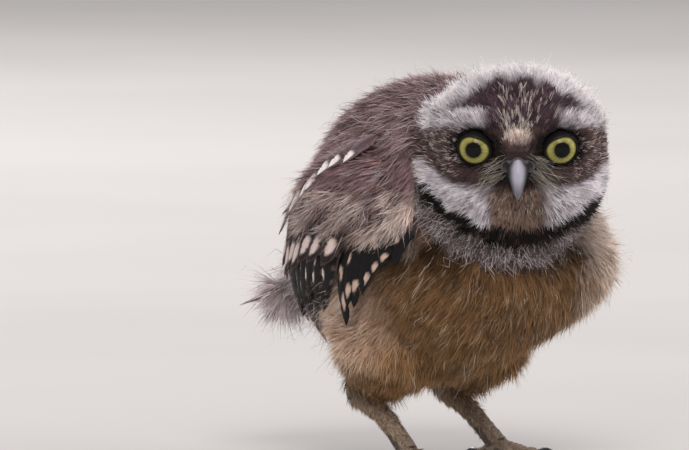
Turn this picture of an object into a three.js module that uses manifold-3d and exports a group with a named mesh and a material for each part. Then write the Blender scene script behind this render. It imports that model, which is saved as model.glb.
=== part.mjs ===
// A fledgling burrowing owl at life size, crouched and leaning forward with its head low and turned
// to its right. Millimetres, +Z up. The body faces -Y, so +X is the bird's own left.
import * as THREE from "three";
import { mergeVertices } from "three/addons/utils/BufferGeometryUtils.js";
import Module from "manifold-3d";

const wasm = await Module();
wasm.setup();

const rad = THREE.MathUtils.degToRad;
const GAP = 0.4; // clear space between neighbouring pieces
const FLOOR_CUT = 200; // size of the block that cuts the soles flat

// Torso: a rounded-square egg, measured over the down.
const TORSO = { centre: [0, 6, 85], half: [44, 58, 57], power: 2.4 };
const TAPER = { below: 0.3, above: 0.2, rump: 0.18, throat: 0.18, backBelow: 8 };
const THROAT = { height: 30, spread: 48 };
const SHOULDER = { bearing: -44, height: -17, spread: 38, rise: 12 }; // the left one, pushed out
// Neck: fills the nape between shoulders and head.
const NECK = { centre: [-4, -18, 109.5], half: [41, 36, 33] };
// Head: centre, half sizes, turn to the bird's right, and how far the face is bowed.
const HEAD = { centre: [-11.5, -42, 114.6], half: [34.5, 29, 33.3], power: 2.2, turn: 45, bow: 10 };
// Relief of the face: how far each form stands out, how far it reaches and where it is. The disc is
// the raised edge that runs round the whole face.
const FACE = {
  flat: 0.13,
  socket: { depth: 2.6, reach: 12 },
  brow: { rise: 2, reach: 8.5, side: 12, stretch: 1.7, up: 9.5 },
  bridge: { rise: 1.8, reach: 9, stretch: 1.6, up: 7 },
  disc: { rise: 1.4, reach: 6, radius: 27, stretch: 1.02, down: 3 },
};
const EYE = { radius: 8.2, apart: 29, forward: 17.6, up: 8.2, splay: 9, lidInner: 5.45, lidTube: 1.2, lidSunk: 0.5 };
const BILL = { reach: 9.5, drop: 12.5, width: 9.2, depth: 8.5, up: 3.6, forward: 21.5 };
const JAW = { reach: 7.6, drop: 5, width: 7.4, depth: 4, up: -2.4 };
const CERE = { half: [6.2, 3.6, 3.8], forward: 24, up: 4.2, nostril: 4.3, hole: 1.1 };
const VANE = { thick: 0.6, tilt: 1.7 };
const WING = { thick: 8.5, clear: 0.9, centre: [9, 11], half: [39, 20], lean: -7 };
const TAIL = { root: [0, 50, 75], drop: 20, length: 50, feathers: 10, width: 11, fan: 3.4, stagger: 0.9 };
const LEG = { side: 22, hip: [13, 50], heel: [29, 30], ankle: [1, 8], shank: 3.1, thigh: 22 };
const TOES = [
  { name: "inner", angle: -24, length: 15, radius: 2.3 },
  { name: "middle", angle: 6, length: 20, radius: 2.4 },
  { name: "outer", angle: 62, length: 15, radius: 2.3 },
  { name: "hind", angle: 176, length: 10, radius: 2.2 },
];
const CLAW_LENGTH = 8;

const LOOK = {
  brownDown: new THREE.MeshStandardMaterial({ color: 0x5b4640, roughness: 0.95 }),
  buffDown: new THREE.MeshStandardMaterial({ color: 0x9a7450, roughness: 0.95 }),
  wing: new THREE.MeshStandardMaterial({ color: 0x3a2a26, roughness: 0.8 }),
  horn: new THREE.MeshStandardMaterial({ color: 0xa9adb0, roughness: 0.4 }),
  claw: new THREE.MeshStandardMaterial({ color: 0x1e1a1a, roughness: 0.35 }),
  eye: new THREE.MeshStandardMaterial({ color: 0xb7b04a, roughness: 0.05 }),
  foot: new THREE.MeshStandardMaterial({ color: 0x8d7f70, roughness: 0.8 }),
};

// Solids

// The same geometry with every shared point merged, so that a closed form stays closed when moved.
function welded(geometry) {
  const bare = geometry.clone();
  bare.deleteAttribute("normal");
  bare.deleteAttribute("uv");
  return mergeVertices(bare, 1e-4);
}

function solid(geometry) {
  const merged = welded(geometry);
  return new wasm.Manifold(
    new wasm.Mesh({
      numProp: 3,
      vertProperties: merged.attributes.position.array,
      triVerts: new Uint32Array(merged.index.array),
    }),
  );
}

function largest(made) {
  const bodies = made.decompose();
  return bodies.reduce((best, next) => (next.volume() > best.volume() ? next : best));
}

function fuse(pieces) {
  return pieces.reduce((whole, piece) => whole.add(piece));
}

function mesh(name, made, material) {
  const out = largest(made).getMesh();
  const geometry = new THREE.BufferGeometry();
  const places = new Float32Array(out.numVert * 3);
  for (let i = 0; i < out.numVert; i++) {
    places.set(out.vertProperties.subarray(i * out.numProp, i * out.numProp + 3), i * 3);
  }
  geometry.setAttribute("position", new THREE.BufferAttribute(places, 3));
  geometry.setIndex(new THREE.BufferAttribute(out.triVerts, 1));
  geometry.computeVertexNormals();
  const made3d = new THREE.Mesh(geometry, material);
  made3d.name = name;
  return made3d;
}

// A smooth hill, 1 at no distance and 0 from its reach outward.
function bump(distance, reach) {
  const near = Math.max(0, 1 - (distance / reach) ** 2);
  return near * near;
}

// Moves every point of a closed geometry by a function of that point.
function reshape(geometry, move) {
  const made = welded(geometry);
  const places = made.attributes.position;
  const point = new THREE.Vector3();
  for (let i = 0; i < places.count; i++) {
    const to = move(point.fromBufferAttribute(places, i).clone());
    places.setXYZ(i, to.x, to.y, to.z);
  }
  return made;
}

// A left-hand copy: mirrored across the bird's middle, with its faces turned back out.
function mirrored(made) {
  return made.mirror([1, 0, 0]);
}

// A limb through a few points, each with its own radius. Over is how far both ends run past.
function limb(points, radii, sides = 10, steps = 8, over = 0) {
  const line = new THREE.CatmullRomCurve3(points.map((p) => new THREE.Vector3(...p)));
  const frames = line.computeFrenetFrames(steps, false);
  const tube = new THREE.CylinderGeometry(1, 1, 1, sides, steps);
  return solid(
    reshape(tube, (p) => {
      const along = THREE.MathUtils.clamp(0.5 - p.y, 0, 1);
      const ring = Math.round(along * steps);
      const at = along * (radii.length - 1);
      const low = Math.min(Math.floor(at), radii.length - 2);
      const radius = THREE.MathUtils.lerp(radii[low], radii[low + 1], at - low);
      const past = (ring === steps ? over : 0) - (ring === 0 ? over : 0);
      return line
        .getPoint(along)
        .addScaledVector(frames.tangents[ring], past)
        .addScaledVector(frames.normals[ring], p.x * radius)
        .addScaledVector(frames.binormals[ring], p.z * radius);
    }),
  );
}

// Torso

// A point on the torso at a bearing (0 is out to the bird's left, positive is backward) and a height
// angle, standing off its surface by lift.
function torsoPoint(bearing, height, lift) {
  const here = onTorso(bearing, height);
  const slope = [here.x, here.y, here.z].map((v, i) => {
    const share = (v - TORSO.centre[i]) / TORSO.half[i];
    return (Math.sign(share) * Math.abs(share) ** (TORSO.power - 1)) / TORSO.half[i];
  });
  return here.addScaledVector(new THREE.Vector3(...slope).normalize(), lift);
}

function onTorso(bearing, height) {
  const way = new THREE.Vector3(
    Math.cos(height) * Math.cos(bearing),
    Math.cos(height) * Math.sin(bearing),
    Math.sin(height),
  );
  const n = TORSO.power;
  const reach = (Math.abs(way.x) ** n + Math.abs(way.y) ** n + Math.abs(way.z) ** n) ** (-1 / n);
  const low = Math.max(0, -way.z) ** 2;
  const high = Math.max(0, way.z) ** 2;
  const back = Math.max(0, way.y) ** 2;
  const off = Math.hypot(Math.atan2(way.y, way.x) - rad(SHOULDER.bearing), height - rad(SHOULDER.height));
  const tuck = TAPER.throat * Math.max(0, -way.y) ** 2 * bump(height - rad(THROAT.height), rad(THROAT.spread));
  const swell = 1 + (SHOULDER.rise / TORSO.half[1]) * bump(off, rad(SHOULDER.spread)) - tuck;
  const girth = reach * swell * (1 - TAPER.below * low - TAPER.above * high);
  return new THREE.Vector3(
    TORSO.centre[0] + TORSO.half[0] * way.x * girth * (1 - TAPER.rump * back),
    TORSO.centre[1] + TORSO.half[1] * way.y * girth + TAPER.backBelow * low,
    TORSO.centre[2] + TORSO.half[2] * way.z * reach,
  );
}

function torsoSolid(lift) {
  const ball = new THREE.SphereGeometry(1, 34, 23);
  return solid(
    reshape(ball, (p) => {
      const height = Math.asin(THREE.MathUtils.clamp(p.y, -1, 1));
      const bearing = Math.atan2(-p.z, p.x);
      return torsoPoint(bearing, height, lift);
    }),
  );
}

function neckSolid(lift) {
  const ball = new THREE.SphereGeometry(1, 26, 17);
  return solid(
    reshape(ball, (p) =>
      new THREE.Vector3(
        NECK.centre[0] + (NECK.half[0] + lift) * p.x,
        NECK.centre[1] - (NECK.half[1] + lift) * p.z,
        NECK.centre[2] + (NECK.half[2] + lift) * p.y,
      ),
    ),
  );
}

// Head. Its own axes: x to the bird's left, y forward out of the face, z up.

const headPlace = new THREE.Matrix4()
  .makeTranslation(...HEAD.centre)
  .multiply(new THREE.Matrix4().makeRotationZ(-rad(HEAD.turn)))
  .multiply(new THREE.Matrix4().makeRotationX(rad(HEAD.bow)))
  .multiply(new THREE.Matrix4().makeScale(1, -1, 1));

function headForm(p, lift) {
  const face = Math.max(0, p.y);
  const n = HEAD.power;
  const reach = (Math.abs(p.x) ** n + Math.abs(p.y) ** n + Math.abs(p.z) ** n) ** (-1 / n);
  const x = (HEAD.half[0] + lift) * p.x * reach;
  const y = (HEAD.half[1] + lift) * p.y * reach * (1 - FACE.flat * face ** 3);
  const z = (HEAD.half[2] + lift) * p.z * reach;
  const side = Math.abs(x);
  const { socket, brow, bridge, disc } = FACE;
  const fromEye = Math.hypot(side - EYE.apart / 2, z - EYE.up);
  const fromBrow = Math.hypot((side - brow.side) / brow.stretch, z - EYE.up - brow.up);
  const fromBridge = Math.hypot(side, (z - bridge.up) / bridge.stretch);
  const fromDisc = Math.abs(Math.hypot(side / disc.stretch, z + disc.down) - disc.radius);
  const relief =
    brow.rise * bump(fromBrow, brow.reach) +
    bridge.rise * bump(fromBridge, bridge.reach) +
    disc.rise * bump(fromDisc, disc.reach) -
    socket.depth * bump(fromEye, socket.reach);
  return new THREE.Vector3(x, y + relief * face, z);
}

function headSolid(lift, around = 32) {
  const ball = new THREE.SphereGeometry(1, around, Math.round(around * 0.75));
  return placed(reshape(ball, (p) => headForm(p, lift)));
}

// Puts a geometry drawn in the head's own axes into the bird. The place holds a mirror, so faces turn.
function placed(geometry) {
  const bare = geometry.toNonIndexed();
  bare.applyMatrix4(headPlace);
  const places = bare.attributes.position.array;
  for (let i = 0; i < places.length; i += 9) {
    for (let k = 0; k < 3; k++) {
      [places[i + 3 + k], places[i + 6 + k]] = [places[i + 6 + k], places[i + 3 + k]];
    }
  }
  return solid(bare);
}

function eyeCentre(side) {
  return new THREE.Vector3((side * EYE.apart) / 2, EYE.forward, EYE.up);
}

function eyeBall(side, radius) {
  const ball = new THREE.SphereGeometry(radius, 18, 12);
  const at = eyeCentre(side);
  return placed(ball.translate(at.x, at.y, at.z));
}

// The lids: one rim round the open eye, thicker above.
function lidRim(side) {
  const ring = new THREE.TorusGeometry(EYE.lidInner + EYE.lidTube, EYE.lidTube, 6, 22);
  ring.rotateX(Math.PI / 2);
  const out = Math.sqrt(EYE.radius ** 2 - EYE.lidInner ** 2) - EYE.lidSunk;
  ring.translate(0, out, 0);
  ring.rotateZ(-side * rad(EYE.splay));
  const at = eyeCentre(side);
  ring.translate(at.x, at.y, at.z);
  return placed(ring);
}

// A horn bent from forward to straight down, for the bill and the jaw under it.
function hornSolid({ reach, drop, width, depth, up }, lift = 0) {
  const horn = new THREE.CylinderGeometry(1, 1, 1, 12, 7);
  return placed(
    reshape(horn, (p) => {
      const along = THREE.MathUtils.clamp(0.5 - p.y, 0, 1);
      const turn = (along * Math.PI) / 2;
      const taper = (1 - 0.97 * along ** 1.9) ** 0.75;
      const rise = (depth / 2) * taper * p.z + lift * p.z;
      const half = (width / 2) * taper * (p.z > 0 ? 1 - 0.2 * p.z : 1) + lift;
      return new THREE.Vector3(
        -half * p.x,
        BILL.forward + reach * Math.sin(turn) + rise * Math.sin(turn) * 0.8,
        up - drop * (1 - Math.cos(turn)) + rise * Math.cos(turn),
      );
    }),
  );
}

// The upper bill wears the cere over its root, with a nostril sunk in each side.
function upperBillSolid() {
  const cere = new THREE.SphereGeometry(1, 14, 9);
  cere.scale(...CERE.half).translate(0, CERE.forward, CERE.up);
  const holes = [-1, 1].map((side) => {
    const hole = new THREE.SphereGeometry(CERE.hole, 7, 5);
    return placed(hole.translate(side * CERE.nostril, CERE.forward + CERE.half[1] * 0.75, CERE.up + 0.4));
  });
  return fuse([hornSolid(BILL), placed(cere)]).subtract(fuse(holes));
}

// Feathers: one vane of the wing, lying over the torso from a root bearing and height to a tip.
function wingVane({ root, tip, width, lifts }) {
  const plate = new THREE.BoxGeometry(1, 1, 1, 4, 1, 1);
  const from = new THREE.Vector2(...root).multiplyScalar(Math.PI / 180);
  const to = new THREE.Vector2(...tip).multiplyScalar(Math.PI / 180);
  const way = to.clone().sub(from);
  const across = new THREE.Vector2(-way.y, way.x).normalize();
  return solid(
    reshape(plate, (p) => {
      const along = p.x + 0.5;
      const narrow = along > 0.8 ? Math.sqrt(Math.max(0.03, 1 - ((along - 0.8) / 0.2) ** 2)) : 1;
      const half = (p.y * width * Math.min(narrow, 0.55 + along * 1.5)) / TORSO.half[2];
      const spot = from.clone().addScaledVector(way, along).addScaledVector(across, half);
      const rise = THREE.MathUtils.lerp(lifts[0], lifts[1], along);
      const lift = rise + p.y * VANE.tilt + p.z * VANE.thick;
      return torsoPoint(spot.x, spot.y, lift);
    }),
  );
}

// A row of vanes whose roots and tips run between the first and the last.
function wingTier({ count, firstRoot, lastRoot, firstTip, lastTip, width, lifts }) {
  const between = (a, b, t) => [THREE.MathUtils.lerp(a[0], b[0], t), THREE.MathUtils.lerp(a[1], b[1], t)];
  return Array.from({ length: count }, (_, i) => {
    const t = i / (count - 1);
    return wingVane({
      root: between(firstRoot, lastRoot, t),
      tip: between(firstTip, lastTip, t),
      width,
      lifts,
    });
  });
}

function covertPad() {
  const ball = new THREE.SphereGeometry(1, 22, 8);
  ball.rotateX(Math.PI / 2);
  const turn = rad(WING.lean);
  return solid(
    reshape(ball, (p) => {
      const a = rad(WING.half[0]) * p.x;
      const b = rad(WING.half[1]) * p.y;
      const bearing = rad(WING.centre[0]) + a * Math.cos(turn) - b * Math.sin(turn);
      const height = rad(WING.centre[1]) + a * Math.sin(turn) + b * Math.cos(turn);
      const lift = WING.clear + (p.z > 0 ? WING.thick * p.z ** 0.8 : 0);
      return torsoPoint(bearing, height, lift);
    }),
  );
}

function wingSolid() {
  const primaries = wingTier({
    count: 6, firstRoot: [-24, 4], lastRoot: [-10, 12], firstTip: [2, -25], lastTip: [38, -35],
    width: 12.5, lifts: [2.4, 3.2],
  });
  const secondaries = wingTier({
    count: 8, firstRoot: [-10, 9], lastRoot: [34, 18], firstTip: [18, -25], lastTip: [62, -34],
    width: 12.5, lifts: [4.6, 6.4],
  });
  const coverts = wingTier({
    count: 7, firstRoot: [-19, 9], lastRoot: [30, 18], firstTip: [-8, -16], lastTip: [48, -10],
    width: 12, lifts: [6.9, 8.4],
  });
  return fuse([covertPad(), ...primaries, ...secondaries, ...coverts]);
}

// Tail: a short fan of vanes on a downy root.
function tailSolid() {
  const vanes = [];
  const middle = (TAIL.feathers - 1) / 2;
  for (let i = 0; i < TAIL.feathers; i++) {
    const off = i - middle;
    const blank = new THREE.BoxGeometry(1, 1, 1, 1, 4, 1);
    const length = TAIL.length - 0.35 * off * off;
    const plate = reshape(blank, (p) => {
      const along = p.y + 0.5;
      const narrow = along > 0.75 ? Math.sqrt(Math.max(0.05, 1 - ((along - 0.75) / 0.25) ** 2)) : 1;
      const rank = -Math.abs(off) * TAIL.stagger;
      const tilt = off > 0 ? -1 : 1;
      return new THREE.Vector3(
        p.x * TAIL.width * narrow,
        along * length,
        rank + 1.2 * p.x * tilt + p.z * VANE.thick - 3 * along * along,
      );
    });
    plate.rotateZ(-rad(off * TAIL.fan));
    plate.translate(off * 0.9, 0, 0);
    plate.rotateX(-rad(TAIL.drop));
    plate.translate(...TAIL.root);
    vanes.push(solid(plate));
  }
  const drop = rad(TAIL.drop);
  const at = (d, up) => [0, TAIL.root[1] + d * Math.cos(drop), TAIL.root[2] - d * Math.sin(drop) + up];
  const root = limb([at(-4, -2), at(10, -2.5), at(22, -3), at(30, -3.5)], [13, 14, 11, 3], 12, 6);
  return fuse([root, ...vanes]);
}

// Legs

function thighSolid(lift) {
  const [hipY, hipZ] = LEG.hip;
  const [heelY, heelZ] = LEG.heel;
  const x = -LEG.side;
  const points = [
    [x + 3, hipY - 6, hipZ + 6],
    [x, hipY, hipZ - 6],
    [x, (hipY + heelY) / 2 + 2, (hipZ + heelZ) / 2 - 3],
    [x, heelY - 1, heelZ + 1],
  ];
  const r = LEG.thigh + lift;
  return limb(points, [r * 0.7, r * 1.05, r * 0.72, 5.2 + lift], 16, 9, lift);
}

function shankSolid(lift) {
  const [heelY, heelZ] = LEG.heel;
  const [ankleY, ankleZ] = LEG.ankle;
  const x = -LEG.side;
  const points = [
    [x, heelY - 1, heelZ + 1.5],
    [x, heelY - 1, heelZ - 4],
    [x, (heelY + ankleY) / 2, (heelZ + ankleZ) / 2 - 1],
    [x - 1, ankleY, ankleZ - 2.5],
  ];
  const r = LEG.shank + lift;
  return limb(points, [r * 1.25, r * 1.15, r, r * 1.2], 10, 8, lift);
}

function toeLine(toe) {
  const way = rad(toe.angle);
  const out = (d, up) => [
    -LEG.side - 1 - Math.sin(way) * d,
    LEG.ankle[0] - Math.cos(way) * d,
    up,
  ];
  const r = toe.radius;
  const heights = [[-1, r + 1.2], [toe.length * 0.3, r + 2.2], [toe.length * 0.7, r - 0.1], [toe.length, r - 0.2]];
  return { out, points: heights.map(([d, up]) => out(d, up)) };
}

function floorBlock() {
  const block = new THREE.BoxGeometry(FLOOR_CUT, FLOOR_CUT, FLOOR_CUT);
  return solid(block.translate(0, 0, -FLOOR_CUT / 2));
}

// Each toe is one limb that swells at its pads.
function footSolid() {
  const toes = TOES.map((toe) => {
    const r = toe.radius;
    const swell = [1.15, 0.92, 1.12, 0.9, 1.1, 0.88, 1.05, 0.7];
    return limb(toeLine(toe).points, swell.map((share) => share * r), 8, 7);
  });
  const sole = new THREE.SphereGeometry(1, 10, 8);
  sole.scale(4.2, 4.4, 3.8).translate(-LEG.side - 1, LEG.ankle[0], 3.4);
  return fuse([solid(sole), ...toes]).subtract(floorBlock());
}

function clawSolid(toe) {
  const { out } = toeLine(toe);
  const r = toe.radius;
  const start = toe.length + 2 * GAP;
  const at = (share, up) => out(start + CLAW_LENGTH * share, up);
  const points = [at(0, r - 0.1), at(0.35, r + 0.5), at(0.72, r - 0.5), at(0.92, 0.5)];
  return limb(points, [r * 0.66, r * 0.6, r * 0.38, 0.18], 7, 5).subtract(floorBlock());
}

// The bird put together

const owl = new THREE.Group();

const headHull = headSolid(GAP + 0.3, 28);
const torsoHull = torsoSolid(GAP);
const neckHull = neckSolid(GAP);
const thighHull = thighSolid(GAP);
const shankHull = shankSolid(GAP);

const lids = fuse([lidRim(-1), lidRim(1)]);
const sockets = fuse([eyeBall(-1, EYE.radius + GAP), eyeBall(1, EYE.radius + GAP)]);
owl.add(mesh("head", headSolid(0).add(lids).subtract(sockets), LOOK.brownDown));
owl.add(mesh("eye_right", eyeBall(-1, EYE.radius), LOOK.eye));
owl.add(mesh("eye_left", eyeBall(1, EYE.radius), LOOK.eye));
owl.add(mesh("bill_upper", upperBillSolid().subtract(headHull), LOOK.horn));
owl.add(mesh("bill_lower", hornSolid(JAW).subtract(fuse([headHull, hornSolid(BILL, GAP)])), LOOK.horn));
owl.add(mesh("torso", torsoSolid(0).subtract(headHull), LOOK.buffDown));
owl.add(mesh("neck", neckSolid(0).subtract(fuse([headHull, torsoHull])), LOOK.brownDown));

const wing = wingSolid();
const wideThigh = thighSolid(3 * GAP);
const roundWings = fuse([headHull, neckHull, wideThigh, mirrored(wideThigh)]);
owl.add(mesh("wing_right", mirrored(wing).subtract(roundWings), LOOK.wing));
owl.add(mesh("wing_left", wing.subtract(roundWings), LOOK.wing));
owl.add(mesh("tail", tailSolid().subtract(torsoHull), LOOK.wing));

const onTheRight = (made) => made;
for (const [side, sided] of [["right", onTheRight], ["left", mirrored]]) {
  owl.add(mesh("thigh_" + side, sided(thighSolid(0)).subtract(torsoHull), LOOK.buffDown));
  owl.add(mesh("shank_" + side, sided(shankSolid(0).subtract(thighHull)), LOOK.foot));
  owl.add(mesh("foot_" + side, sided(footSolid().subtract(shankHull)), LOOK.foot));
  for (const toe of TOES) {
    owl.add(mesh(`claw_${toe.name}_${side}`, sided(clawSolid(toe)), LOOK.claw));
  }
}

// The origin is the middle of the bounds, at floor level.
const bounds = new THREE.Box3().setFromObject(owl);
const middle = bounds.getCenter(new THREE.Vector3());
owl.position.set(-middle.x, -middle.y, -bounds.min.z);

export default owl;
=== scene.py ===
import math

import bmesh
import bpy
import numpy as np
from mathutils import Matrix, Vector


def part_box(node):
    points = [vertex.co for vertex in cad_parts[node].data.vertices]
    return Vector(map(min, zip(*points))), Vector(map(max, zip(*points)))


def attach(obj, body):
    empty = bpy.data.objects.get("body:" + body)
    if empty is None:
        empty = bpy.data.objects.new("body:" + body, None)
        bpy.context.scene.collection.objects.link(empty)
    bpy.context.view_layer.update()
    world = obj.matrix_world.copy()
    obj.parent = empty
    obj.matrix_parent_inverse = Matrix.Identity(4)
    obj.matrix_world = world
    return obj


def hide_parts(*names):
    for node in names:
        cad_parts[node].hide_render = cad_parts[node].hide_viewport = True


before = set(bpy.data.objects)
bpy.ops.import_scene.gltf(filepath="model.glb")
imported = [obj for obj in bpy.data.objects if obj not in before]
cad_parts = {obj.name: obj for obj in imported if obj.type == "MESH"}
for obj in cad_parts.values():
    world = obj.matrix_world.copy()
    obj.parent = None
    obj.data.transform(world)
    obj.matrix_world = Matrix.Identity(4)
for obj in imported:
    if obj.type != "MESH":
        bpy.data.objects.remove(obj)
bpy.context.view_layer.update()

# The view. The bird stands at the origin and is seen from its right front, from a little above and
# from far off through a long lens, so that its outline is nearly parallel.
MM = 0.001
AZIMUTH, ELEVATION = math.radians(-45), math.radians(4)
DISTANCE, FIELD_WIDTH, SENSOR_WIDTH = 4.0, 0.2505, 36
AIM_RIGHT, AIM_UP = -0.0328, 0.0862
level = math.cos(ELEVATION)
toward = Vector((math.sin(AZIMUTH) * level, -math.cos(AZIMUTH) * level, math.sin(ELEVATION)))
camera = bpy.data.objects.new("camera", bpy.data.cameras.new("camera"))
bpy.context.scene.collection.objects.link(camera)
bpy.context.scene.camera = camera
camera.rotation_mode = "QUATERNION"
camera.rotation_quaternion = toward.to_track_quat("Z", "Y")
camera.location = camera.rotation_quaternion @ Vector((AIM_RIGHT, AIM_UP, 0)) + toward * DISTANCE
camera.data.sensor_width = SENSOR_WIDTH
camera.data.lens = SENSOR_WIDTH * DISTANCE / FIELD_WIDTH
camera.data.clip_end = 100

# The floor is one wide pale matt sheet that runs back to the horizon, with a faint mottle so that it
# isn't one flat tone.
FLOOR_HALF = 30


def link(mesh, *finishes):
    """An object in the scene that shows a mesh in its finishes."""
    made = bpy.data.objects.new(mesh.name, mesh)
    bpy.context.scene.collection.objects.link(made)
    for finish in finishes:
        mesh.materials.append(finish)
    return made


def made_from(form, name, *finishes):
    """An object in the scene from a finished bmesh."""
    mesh = bpy.data.meshes.new(name)
    form.to_mesh(mesh)
    form.free()
    return link(mesh, *finishes)


class Wire:
    """A shader value that takes part in sums."""

    def __init__(self, finish, socket):
        self.finish, self.socket = finish, socket

    def sum(self, operation, one, two):
        return self.finish.node("ShaderNodeMath", {"operation": operation}, {0: one, 1: two})

    def __add__(self, other):
        return self.sum("ADD", self, other)

    def __sub__(self, other):
        return self.sum("SUBTRACT", self, other)

    def __rsub__(self, other):
        return self.sum("SUBTRACT", other, self)

    def __mul__(self, other):
        return self.sum("MULTIPLY", self, other)

    __radd__ = __add__
    __rmul__ = __mul__


class Finish:
    """A named surface finish whose nodes are made one by one."""

    def __init__(self, name):
        self.material = bpy.data.materials.new(name)
        self.material.use_nodes = True
        self.tree = self.material.node_tree
        self.tree.nodes.clear()

    def node(self, kind, settings=None, sockets=None, out=0):
        made = self.tree.nodes.new(kind)
        for key, value in (settings or {}).items():
            if key == "stops":
                while len(made.color_ramp.elements) < len(value):
                    made.color_ramp.elements.new(0.5)
                for stop, (place, colour) in zip(made.color_ramp.elements, value):
                    stop.position, stop.color = place, (*colour, 1)
            else:
                setattr(made, key, value)
        for key, value in (sockets or {}).items():
            if isinstance(value, Wire):
                self.tree.links.new(value.socket, made.inputs[key])
            else:
                made.inputs[key].default_value = value
        return Wire(self, made.outputs[out]) if made.outputs else None

    def close(self, **sockets):
        """The finished material: a surface with its sockets set or linked."""
        sockets = {name.replace("_", " "): value for name, value in sockets.items()}
        surface = self.node("ShaderNodeBsdfPrincipled", {}, sockets)
        self.node("ShaderNodeOutputMaterial", {}, {"Surface": surface})
        return self.material


def tone(code):
    """A screen colour as linear light."""
    parts = [int(code[i : i + 2], 16) / 255 for i in (1, 3, 5)]
    return tuple(c / 12.92 if c <= 0.04045 else ((c + 0.055) / 1.055) ** 2.4 for c in parts)


def grain_of(finish, scale, detail=2.0):
    """Fine noise that is fixed in the object's own axes."""
    place = finish.node("ShaderNodeTexCoord", out="Object")
    return finish.node("ShaderNodeTexNoise", {}, {"Vector": place, "Scale": scale, "Detail": detail})


def ramp_of(finish, value, *stops):
    """Colours that follow a value. Each stop is a place from 0 to 1 and its colour."""
    return finish.node("ShaderNodeValToRGB", {"stops": stops}, {"Fac": value})


sheet = Finish("floor_sheet")
mottle = ramp_of(sheet, grain_of(sheet, 3.0), (0.3, tone("#c9c8c5")), (0.7, tone("#cfcecb")))
floor_sheet = sheet.close(Base_Color=mottle, Roughness=0.9)
floor_form = bmesh.new()
bmesh.ops.create_grid(floor_form, x_segments=1, y_segments=1, size=FLOOR_HALF)
floor = made_from(floor_form, "floor", floor_sheet)

# The lights are three large soft panels, high left, low right and behind, and a pale sky all round.
# Each panel is a white cloth in a frame, a little warm, and points at the middle of the bird.
LAMPS = [
    # name, place, size, power, colour
    ("key", (-1.6, -1.9, 2.3), 1.5, 52, (1, 0.955, 0.92)),
    ("fill", (1.8, -2.0, 1.0), 1.8, 17, (1, 0.95, 0.96)),
    ("back", (0.9, 2.2, 1.9), 1.4, 46, (1, 0.96, 0.97)),
]
LIT_MIDDLE = Vector((0, 0, 0.08))
SKY_COLOUR, SKY_STRENGTH = (1, 0.955, 0.975, 1), 0.5
for lamp_name, place, size, power, colour in LAMPS:
    lamp = bpy.data.objects.new(lamp_name, bpy.data.lights.new(lamp_name, "AREA"))
    lamp.data.size, lamp.data.energy, lamp.data.color = size, power, colour
    lamp.location = place
    lamp.rotation_mode = "QUATERNION"
    lamp.rotation_quaternion = (Vector(place) - LIT_MIDDLE).to_track_quat("Z", "Y")
    bpy.context.scene.collection.objects.link(lamp)
sky = bpy.data.worlds.new("sky")
bpy.context.scene.world = sky
sky.use_nodes = True
sky_light = sky.node_tree.nodes["Background"].inputs
sky_light["Color"].default_value = SKY_COLOUR
sky_light["Strength"].default_value = SKY_STRENGTH
bpy.context.scene.view_settings.view_transform = "Standard"

# The body under the down. Head, neck, trunk, thighs, shoulders and the root of the tail are one soft
# closed skin, a coat's depth inside the outline of the plumage. Sizes are in mm and degrees.
HEAD = {"centre": (-11.5, -42, 114.6), "half": (34.5, 29, 33.3), "turn": 45, "bow": 10}
EYE = {"radius": 8.2, "apart": 29, "forward": 17.6, "up": 8.2, "splay": 9}
TRUNK = {"centre": (0, 6, 85), "half": (44, 58, 57), "power": 2.4}
TAPER = {"below": 0.3, "above": 0.2, "rump": 0.18, "throat": 0.18, "back_below": 8}
THROAT = {"height": 30, "spread": 48}
SHOULDER = {"bearing": -44, "height": -17, "spread": 38, "rise": 12}
WING_PAD = {"thick": 8.5, "sunk": -2, "centre": (9, 11), "half": (39, 20), "lean": -7}
SOCKET = {"brim": 10.5, "spread": 4.5, "rise": 1.7, "near": 0.6, "deep": 1.2, "front": 5}
SKIN_VOXEL, SKIN_TURNS, SKIN_SWELL = 1.5, 10, 0.6
COAT_DEPTH, FACE_DEPTH = 3.4, 1.7
TAIL_STUB, WELD = 26, 1e-5
SIDES = ((-1, "right"), (1, "left"))


def eye_middle(side):
    """The middle of an eye in the head's own axes."""
    return Vector((side * EYE["apart"] / 2, EYE["forward"], EYE["up"]))


head_place = (
    Matrix.Translation(HEAD["centre"])
    @ Matrix.Rotation(-math.radians(HEAD["turn"]), 4, "Z")
    @ Matrix.Rotation(math.radians(HEAD["bow"]), 4, "X")
    @ Matrix.Diagonal((1, -1, 1, 1))
)
eye_low, eye_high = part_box("eye_right")
SHIFT = Vector([round(v, 2) for v in (eye_low + eye_high) / 2 / MM - head_place @ eye_middle(-1)])
shift = np.array(SHIFT)
head_turn = np.array(head_place.to_3x3())


def in_head(points):
    """Points in the head's own axes: left, forward out of the face, up."""
    return (points - shift - np.array(HEAD["centre"])) @ head_turn


def hill(distance, reach):
    """A round rise that is 1 in the middle and 0 from its reach on."""
    return np.maximum(0, 1 - (np.asarray(distance) / reach) ** 2) ** 2


def step(low, high, value):
    """A soft step from 0 at low to 1 at high."""
    t = np.clip((value - low) / (high - low), 0, 1)
    return t * t * (3 - 2 * t)


def unit(v):
    return v / np.maximum(np.linalg.norm(v, axis=-1, keepdims=True), 1e-9)


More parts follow.
